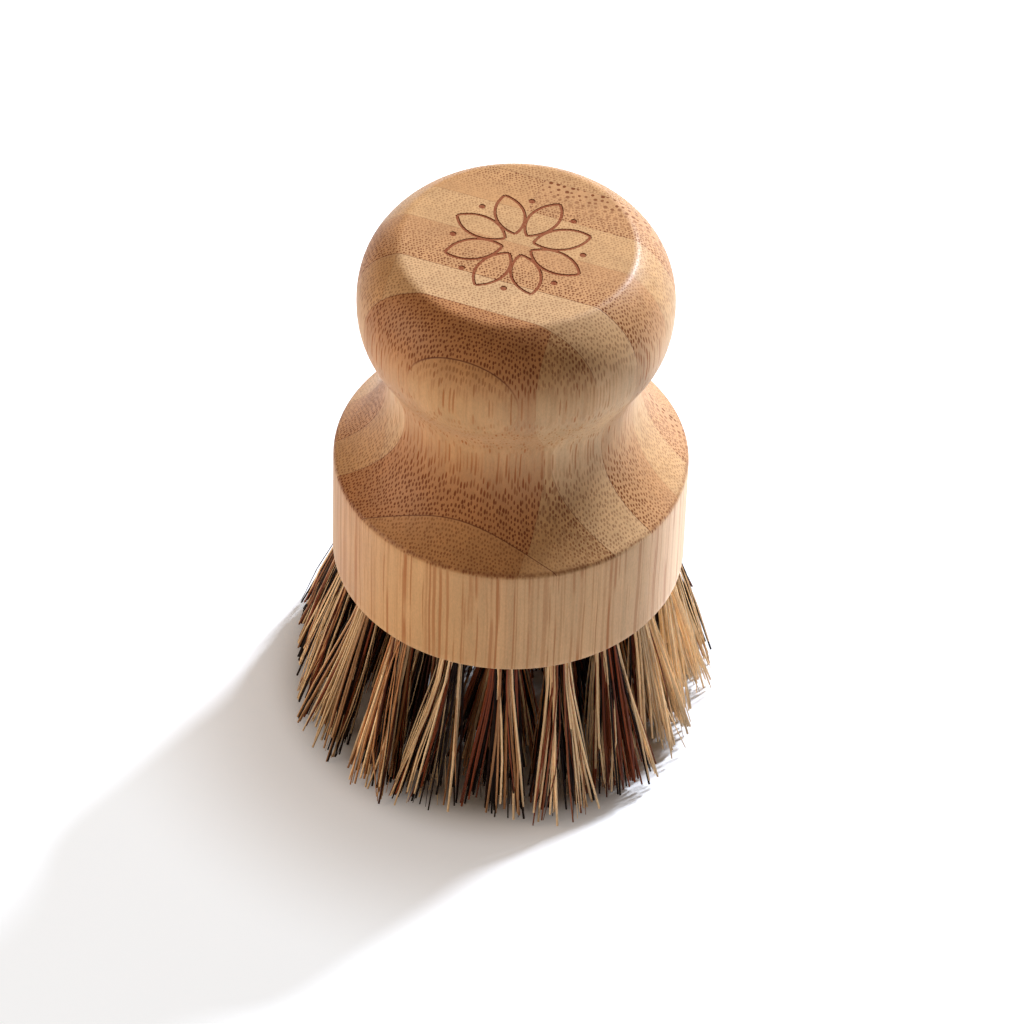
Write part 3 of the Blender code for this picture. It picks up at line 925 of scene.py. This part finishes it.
def vein_mask(nodes, looks, millimetres, height, end_grain, on_wall, strips):
    """Where the fibre bundles show: as dots on end grain, and as broken streaks on side grain."""
    drift = nodes.noise(millimetres, *DRIFT_NOISE, output="Color")
    wander = nodes.vector("MULTIPLY", nodes.vector("SUBTRACT", drift, (0.5, 0.5, 0.5)), WANDER)
    plan = nodes.vector("ADD", strips["Plan"], wander)
    vein = 0.0
    for size, low, high in STREAK_LEVELS:
        pitch, width = (getattr(looks, f"{size}_vein_{measure}") for measure in ("pitch", "width"))
        bundles = nodes.group("bamboo_veins", Vector=plan, Pitch=pitch, Width=width)
        strength = strips[f"{size.capitalize()} Veins"]
        chance = bundles["Random"]
        on_end = nodes.times(strength, nodes.line(chance, *END_VEIN_LINE))
        streak = nodes.line(on_wall, (high - low) * looks.side_streaks, low * looks.side_streaks)
        on_side = nodes.plus(nodes.times(strength, SIDE_VEIN_SHARE), streak)
        along = nodes.joined(chance, 0.0, height)
        broken = nodes.step(nodes.noise(along, *BREAKS_NOISE), *BREAKS_STEP)
        on_side = nodes.times(on_side, nodes.math("POWER", chance, SIDE_VEIN_POWER), broken)
        shown = nodes.times(bundles["Mask"], nodes.mix_numbers(end_grain, on_side, on_end))
        vein = nodes.math("MAXIMUM", vein, shown)
    return vein


def fibre_material(looks):
    """Dry plant fibre in four kinds, chosen strand by strand from the strands' own attribute."""
    material, nodes, shader = fresh_material("plant_fibre")
    kind, tone, along = nodes.channels(nodes.add("Attribute", attribute_name="strand").outputs["Color"])
    flecks = nodes.noise(nodes.place(), *FLECKS_NOISE)
    fibre = looks.straw_colour
    for span, colour in zip(KIND_STEPS, (looks.ginger_colour, looks.russet_colour, looks.black_colour)):
        fibre = nodes.mix(nodes.step(kind, *span), fibre, colour)
    level = nodes.times(
        nodes.line(tone, *FIBRE_TONE_LINE), nodes.step(flecks, *FLECKS_STEP), nodes.step(along, *TIPS_STEP)
    )
    worn = nodes.plus(nodes.line(flecks, FLECK_ROUGHNESS, looks.roughness), nodes.times(kind, KIND_ROUGHNESS))
    inputs = {
        "Base Color": nodes.add("HueSaturation", {"Color": fibre, "Value": level}).outputs[0],
        "Roughness": worn,
        "Specular IOR Level": nodes.step(kind, *FIBRE_GLOSS_STEP),
        "Normal": nodes.bump(*FIBRE_BUMP, flecks),
    }
    nodes.feed(shader, inputs)
    return material


def wire_material():
    """Bright drawn wire, faintly scored along its length."""
    material, nodes, shader = fresh_material("drawn_wire")
    scores = nodes.noise(nodes.place(), *SCORES_NOISE)
    inputs = {
        "Base Color": nodes.mix(scores, *WIRE_COLOURS),
        "Roughness": nodes.step(scores, *SCORES_STEP),
        "Metallic": 1,
        "Normal": nodes.bump(*WIRE_BUMP, scores),
    }
    nodes.feed(shader, inputs)
    return material


def floor_material(stage):
    """Plain pale floor. A little light of its own, for the camera alone, takes it to white outside the shadow."""
    material, nodes, shader = fresh_material("pale_floor")
    # Painted light: the camera-only light grows with distance from the brush, so it paints the cast shadow fading
    # outwards
    apart = nodes.vector("LENGTH", nodes.place())
    near = nodes.step(apart, *NEAR_STEP, 0.0, stage.near_lift)
    far = nodes.step(apart, *FAR_STEP)
    lift = nodes.plus(near, nodes.times(far, stage.far_lift - stage.near_lift))
    seen = nodes.add("LightPath").outputs["Is Camera Ray"]
    inputs = {
        "Base Color": (*stage.floor_colour, 1),
        "Roughness": FLOOR_ROUGHNESS,
        "Specular IOR Level": FLOOR_GLOSS,
        "Emission Color": nodes.mix(far, stage.near_colour, stage.lift_colour),
        "Emission Strength": nodes.times(seen, lift),
    }
    nodes.feed(shader, inputs)
    return material


# Settings


# Short forms of bpy.props, one for each kind of setting


def Length(name, description, default):
    return FloatProperty(name=name, description=description, default=default, unit="LENGTH")


def Angle(name, description, degrees):
    return FloatProperty(name=name, description=description, default=math.radians(degrees), unit="ROTATION")


def Share(name, description, default):
    return FloatProperty(name=name, description=description, default=default, subtype="FACTOR")


def Number(name, description, default):
    return FloatProperty(name=name, description=description, default=default)


def Count(name, description, default):
    return IntProperty(name=name, description=description, default=default)


def Colour(name, description, default):
    return FloatVectorProperty(name=name, description=description, default=default, subtype="COLOR")


class HandleSizes(bpy.types.PropertyGroup):
    base_radius: Length("Base radius", "Radius of the straight wall", HANDLE_HIGH.x)
    wall_height: Length("Wall height", "Height of the straight wall", 0.0192)
    neck_radius: Length("Neck radius", "Radius at the narrowest place", 0.0183)
    shoulder_height: Length("Shoulder height", "Rise from the rim to the neck", 0.0152)
    knob_radius: Length("Knob radius", "Radius at the widest place of the knob", 0.0228)
    waist_height: Length("Waist height", "Rise from the neck to the widest knob", 0.0149)
    top_radius: Length("Top radius", "Radius of the flat top", 0.0169)
    crown_height: Length("Crown height", "Rise from the widest knob to the flat top", 0.0107)
    edge_round: Length("Edge round", "Rounding of the turned edges", 0.0005)
    curve_steps: Count("Curve steps", "Rings in each curve of the profile", 16)
    sides: Count("Sides", "Sides of the turned shape", 192)


class BambooLooks(bpy.types.PropertyGroup):
    vein_colour: Colour("Veins", "Colour of the fibre bundles", (0.175, 0.052, 0.016))
    streak_colour: Colour("Streaks", "Colour of the fibre bundles cut along their length", (0.47, 0.150, 0.042))
    end_tint: Colour("End grain", "What the end grain's colour is multiplied by", (0.84, 0.735, 0.635))
    side_colour: Colour("Side grain", "Colour of the wood where it is cut along its length", (0.765, 0.48, 0.235))
    side_share: Share("Side share", "How much of that colour hides the strip's own above the rim", 0.4)
    wall_share: Share("Wall share", "The same on the straight wall", 0.85)
    seam_colour: Colour("Seams", "Colour of the glue lines", (0.11, 0.028, 0.008))
    burnt_colour: Colour("Burnt line", "Colour of the burnt grooves", (0.23, 0.052, 0.018))
    fine_vein_pitch: Number("Fine pitch", "Spacing of the fine bundles in millimetres", 0.5)
    fine_vein_width: Number("Fine width", "Width of a fine bundle in millimetres", 0.275)
    coarse_vein_pitch: Number("Coarse pitch", "Spacing of the coarse bundles in millimetres", 1.1)
    coarse_vein_width: Number("Coarse width", "Width of a coarse bundle in millimetres", 0.52)
    side_streaks: Number("Side streaks", "How much more the bundles show where they are cut along their length", 1.0)
    pore_share: Number("Pores", "How much the fine pores change the tone", 0.7)
    rim_mark: Number("Rim mark", "How dark the rubbed line along the rim is", 0.5)
    tone_variation: Number("Tone variation", "How much the wood's tone drifts", 0.10)
    roughness: Share("Roughness", "Roughness of the oiled surface", 0.42)


class MotifSizes(bpy.types.PropertyGroup):
    petals: Count("Petals", "Number of petals of the burnt-in flower", 8)
    inner_radius: Length("Petal root", "Distance of a petal's root from the middle", 0.0022)
    outer_radius: Length("Petal tip", "Distance of a petal's tip from the middle", 0.0105)
    petal_bulge: Length("Petal bulge", "Half the width of a petal", 0.0021)
    line_width: Length("Line width", "Width of the burnt groove", 0.00047)
    line_depth: Length("Line depth", "Depth of the burnt groove", 0.00009)
    dot_radius: Length("Dot radius", "Radius of the burnt dots between the petals", 0.0005)
    dot_ring: Length("Dot ring", "Distance of the burnt dots from the middle", 0.0094)
    turn: FloatProperty(name="Turn", description="Turn of the flower about the axis", default=0.2, unit="ROTATION")
    arc_steps: Count("Arc steps", "Steps along each side of a petal", 14)


class TuftSizes(bpy.types.PropertyGroup):
    tip_overhang: Length("Tip overhang", "How far the tips stand out past the base", 0.007)
    hole_diameter: Length("Hole diameter", "Diameter of the blind holes", 0.0046)
    hole_depth: Length("Hole depth", "Depth of the blind holes", 0.011)
    hole_edge_wall: Length("Edge wall", "Wood left outside the outer holes", 0.0016)
    fit_gap: Length("Fit gap", "Clearance between pieces", 0.0003)
    staple_length: Length("Staple length", "Length of the flat wire", 0.0056)
    staple_thickness: Length("Staple thickness", "Thickness of the flat wire", 0.00035)
    staple_width: Length("Staple width", "Width of the flat wire", 0.0018)
    fold_thickness: Length("Fold", "Room for the folded fibre over the wire", 0.0018)
    strands: Count("Folded strands", "Strands in each tuft, each folded into two bristles", 56)
    inner_strands: Count("Inner strands", "The same for the tufts of the inner rows", 72)
    strand_radius: Length("Strand radius", "Radius of a thick bristle", 0.00021)
    strand_sides: Count("Strand sides", "Sides of a bristle", 5)
    staple_room: Length("Staple room", "Room between the wire and the strands beside it", 0.0001)
    bunch_room: Length("Bunch room", "Room between a strand and the plane halfway to the next tuft", 0.00005)
    leg_steps: Count("Leg steps", "Rings along each bristle outside its hole", 4)
    thin_share: Share("Thin share", "Share of the strands that are thin", 0.28)
    fan_widening: Number("Fan widening", "How much wider than the model's fans the bristles spread", 1.2)
    inner_widening: Number("Inner widening", "The same for the tufts of the inner rows", 1.5)
    longest_reach: Length("Longest reach", "How far from the axis a tip may stand", 0.034)
    clumps: Count("Clumps", "How many clumps of one colour a tuft falls into", 7)
    loose_share: Share("Loose share", "Share of the strands that keep to no clump", 0.48)
    clump_pull: Share("Clump pull", "How far the tips of a clump draw together", 0.35)
    tips_shift: FloatVectorProperty(
        name="Tips shift",
        description="How far wear has pushed all the tips aside",
        default=(-0.0011, -0.0004, 0),
        unit="LENGTH",
    )
    sway: Length("Sway", "How far a bristle bows from a straight line", 0.0005)
    uneven_ends: Length("Uneven ends", "How unevenly the bristles are trimmed", 0.005)
    straw_colour: Colour("Straw", "Pale fibre", (0.95, 0.68, 0.385))
    ginger_colour: Colour("Ginger", "Orange-brown fibre", (0.50, 0.23, 0.085))
    russet_colour: Colour("Russet", "Red-brown fibre", (0.24, 0.05, 0.013))
    black_colour: Colour("Black", "Near-black fibre", (0.016, 0.008, 0.006))
    roughness: Share("Roughness", "Roughness of the fibre", 0.4)


class StageLooks(bpy.types.PropertyGroup):
    floor_colour: Colour("Floor", "Colour of the plain floor", (0.77, 0.76, 0.745))
    key_turn: Angle("Key turn", "Direction of the main lamp in plan", 47.5)
    key_rise: Angle("Key rise", "Height of the main lamp above the floor as an angle", 35)
    key_size: Length("Key size", "Width of the main lamp", 0.16)
    key_power: Number("Key power", "Power of the main lamp in watts", 19.5)
    key_colour: Colour("Key colour", "Colour of the main lamp", (0.92, 1.01, 1.17))
    fill_turn: Angle("Fill turn", "Direction of the fill lamp in plan", 191)
    fill_rise: Angle("Fill rise", "Height of the fill lamp above the floor as an angle", 10)
    fill_size: Length("Fill size", "Width of the fill lamp", 0.7)
    fill_power: Number("Fill power", "Power of the fill lamp in watts", 5.9)
    fill_colour: Colour("Fill colour", "Colour of the fill lamp", (1.0, 0.82, 0.66))
    sky_level: Number("Room light", "Strength of the even light from all sides", 0.22)
    sky_colour: Colour("Room colour", "Colour of the even light", (1.0, 0.76, 0.57))
    # Painted light: the floor's camera-only light is none under the brush and grows outwards, so it paints the cast
    # shadow lighter with distance
    near_lift: Number("Near lift", "Light of the floor's own, for the camera alone, beside the brush", 0.29)
    near_colour: Colour("Near colour", "Colour of that light", (0.97, 1.0, 1.03))
    # Painted light: the shadow's fade at a distance comes from this camera-only light
    far_lift: Number("Far lift", "The same at a distance, where the shadow has faded", 0.67)
    lift_colour: Colour("Lift colour", "Colour of that light at a distance", (0.92, 1.0, 1.07))
    view_tilt: Angle("View height", "Angle of the camera above the horizon", 44.23)
    view_distance: Length("View distance", "Distance from the camera to the rim's middle", 0.87646)
    view_pixels: Number("View length", "Focal length in pixels of a 1024 pixel frame", 6000.0)
    view_pan: Angle("Pan", "Small turn of the camera sideways", -0.027)
    view_nod: Angle("Nod", "Small turn of the camera up or down", -0.580)
    view_roll: Angle("Roll", "Small turn of the camera about its axis", -1.882)


class BrushSettings(bpy.types.PropertyGroup):
    handle: PointerProperty(type=HandleSizes)
    bamboo: PointerProperty(type=BambooLooks)
    motif: PointerProperty(type=MotifSizes)
    tufts: PointerProperty(type=TuftSizes)
    stage: PointerProperty(type=StageLooks)


# Operators


class BRUSH_OT_turn_handle(bpy.types.Operator):
    """Turn the bamboo handle and drill its underside"""

    bl_idname = "palm_brush.turn_handle"
    bl_label = "Turn Handle"

    def execute(self, context):
        brush = context.scene.palm_brush
        sizes, tufts = brush.handle, brush.tufts
        veins_group()
        staves_group()
        rim = handle_heights(sizes)[1]
        wood, burnt = (bamboo_material(brush.bamboo, rim, burnt) for burnt in (False, True))
        places = tuft_places(sizes, tufts)
        handle = new_object("bamboo_handle", turned(handle_profile(sizes), sizes.sides, sizes.edge_round), wood, burnt)
        drills = new_object("drills", drill_cutter(places, tufts), wood)
        slots = new_object("slots", slot_cutter(places, tufts), wood)
        cut_out(handle, drills, slots)
        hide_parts("turned_handle")
        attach(handle, "root")
        return {"FINISHED"}


class BRUSH_OT_burn_flower(bpy.types.Operator):
    """Burn the flower of fine grooves into the flat top"""

    bl_idname = "palm_brush.burn_flower"
    bl_label = "Burn Flower"

    def execute(self, context):
        cutters = petal_cutters(context.scene.palm_brush.motif, HANDLE_HIGH.z)
        grooves = new_object("grooves", cutters, bpy.data.materials["burnt_bamboo"])
        cut_out(bpy.data.objects["bamboo_handle"], grooves)
        return {"FINISHED"}


class BRUSH_OT_draw_tufts(bpy.types.Operator):
    """Fold the bunches of mixed fibre over their staples and trim their tips"""

    bl_idname = "palm_brush.draw_tufts"
    bl_label = "Draw Tufts"

    def execute(self, context):
        brush = context.scene.palm_brush
        fibre = fibre_material(brush.tufts)
        places = tuft_places(brush.handle, brush.tufts)
        walls = walls_between(places, brush.tufts)
        for order, (name, hole, tip, fan) in enumerate(places):
            mix = OUTER_MIX_SHARES[order] if order < len(OUTER_MIX_SHARES) else INNER_MIX_SHARES
            bm = tuft_mesh(name, hole, tip, fan, walls[name], mix, brush.tufts)
            tuft = new_object(f"bristles_{name}", bm, fibre, sharp=BRISTLE_EDGE)
            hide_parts(f"tuft_{name}")
            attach(tuft, "root")
        return {"FINISHED"}


class BRUSH_OT_finish_staples(bpy.types.Operator):
    """Give the model's own flat staples the look of drawn wire"""

    bl_idname = "palm_brush.finish_staples"
    bl_label = "Finish Staples"

    def execute(self, context):
        wire = wire_material()
        for name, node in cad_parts.items():
            if name.startswith("staple_"):
                node.data.materials.clear()
                node.data.materials.append(wire)
        return {"FINISHED"}


class BRUSH_OT_set_stage(bpy.types.Operator):
    """Lay the pale floor, place the lamps and the camera"""

    bl_idname = "palm_brush.set_stage"
    bl_label = "Set Stage"

    def execute(self, context):
        scene = context.scene
        stage = scene.palm_brush.stage
        scene.view_settings.view_transform = "Standard"

        bm = bmesh.new()
        bmesh.ops.create_grid(bm, x_segments=1, y_segments=1, size=FLOOR_SIZE)
        floor = new_object("floor", bm, floor_material(stage))

        world = bpy.data.worlds.new("room")
        scene.world = world
        world.use_nodes = True
        nodes = Nodes(world.node_tree)
        seen = nodes.add("LightPath").outputs["Is Camera Ray"]
        colour = nodes.mix(seen, stage.sky_colour, WHITE)
        level = nodes.line(seen, 1 - stage.sky_level, stage.sky_level)
        nodes.feed(nodes.tree.nodes["Background"], {"Color": colour, "Strength": level})

        for name in ("key", "fill"):
            add_lamp(name, *(getattr(stage, f"{name}_{part}") for part in ("turn", "rise", "size", "power", "colour")))
        place_camera(scene)
        return {"FINISHED"}


def add_lamp(name, turn, rise, size, power, colour):
    """A round soft lamp a metre off, turned towards the brush's middle."""
    middle = Vector((0, 0, HANDLE_HIGH.z / 2))
    toward = Vector((math.cos(rise) * math.cos(turn), math.cos(rise) * math.sin(turn), math.sin(rise)))
    lamp = bpy.data.lights.new(name, "AREA")
    lamp.energy = power
    lamp.color = colour
    lamp.shape = "DISK"
    lamp.size = size
    lamp_object = bpy.data.objects.new(name, lamp)
    lamp_object.location = middle + toward
    lamp_object.rotation_euler = toward.to_track_quat("Z", "Y").to_euler()
    bpy.context.scene.collection.objects.link(lamp_object)


def place_camera(scene):
    """Sets the camera where the photograph's was: towards the rim's middle, then turned a little on each axis."""
    stage = scene.palm_brush.stage
    rim = Vector((0, 0, handle_heights(scene.palm_brush.handle)[1]))
    ahead = Vector((0, math.cos(stage.view_tilt), -math.sin(stage.view_tilt)))
    right = Vector((1, 0, 0))
    axes = [right, right.cross(ahead), ahead]
    place = rim - ahead * stage.view_distance
    for axis, turn in ((1, stage.view_pan), (0, stage.view_nod), (2, stage.view_roll)):
        spin = Matrix.Rotation(turn, 3, axes[axis])
        axes = [spin @ one for one in axes]
    lens = bpy.data.cameras.new("view")
    lens.sensor_width = SENSOR_WIDTH
    lens.lens = stage.view_pixels / FRAME_PIXELS * SENSOR_WIDTH
    lens.clip_start = VIEW_NEAR
    lens.clip_end = VIEW_FAR
    camera = bpy.data.objects.new("view", lens)
    camera.matrix_world = frame_of(axes[0], axes[1], -axes[2], place)
    scene.collection.objects.link(camera)
    scene.camera = camera


class BRUSH_PT_pieces(bpy.types.Panel):
    bl_idname = "BRUSH_PT_pieces"
    bl_label = "Palm Brush"
    bl_space_type = "VIEW_3D"
    bl_region_type = "UI"
    bl_category = "Brush"

    def draw(self, context):
        for operator in OPERATORS:
            self.layout.operator(operator.bl_idname)
        brush = context.scene.palm_brush
        for part in BrushSettings.__annotations__:
            group = getattr(brush, part)
            box = self.layout.box()
            box.label(text=part.capitalize())
            for name in group.__annotations__:
                box.prop(group, name)


OPERATORS = (
    BRUSH_OT_turn_handle,
    BRUSH_OT_burn_flower,
    BRUSH_OT_draw_tufts,
    BRUSH_OT_finish_staples,
    BRUSH_OT_set_stage,
)

CLASSES = (
    HandleSizes,
    BambooLooks,
    MotifSizes,
    TuftSizes,
    StageLooks,
    BrushSettings,
    *OPERATORS,
    BRUSH_PT_pieces,
)


def register():
    for cls in CLASSES:
        bpy.utils.register_class(cls)
    bpy.types.Scene.palm_brush = PointerProperty(type=BrushSettings)


def unregister():
    del bpy.types.Scene.palm_brush
    for cls in reversed(CLASSES):
        bpy.utils.unregister_class(cls)


def main():
    register()
    bpy.ops.palm_brush.turn_handle()
    bpy.ops.palm_brush.burn_flower()
    bpy.ops.palm_brush.draw_tufts()
    bpy.ops.palm_brush.finish_staples()
    bpy.ops.palm_brush.set_stage()


if __name__ == "__main__":
    main()
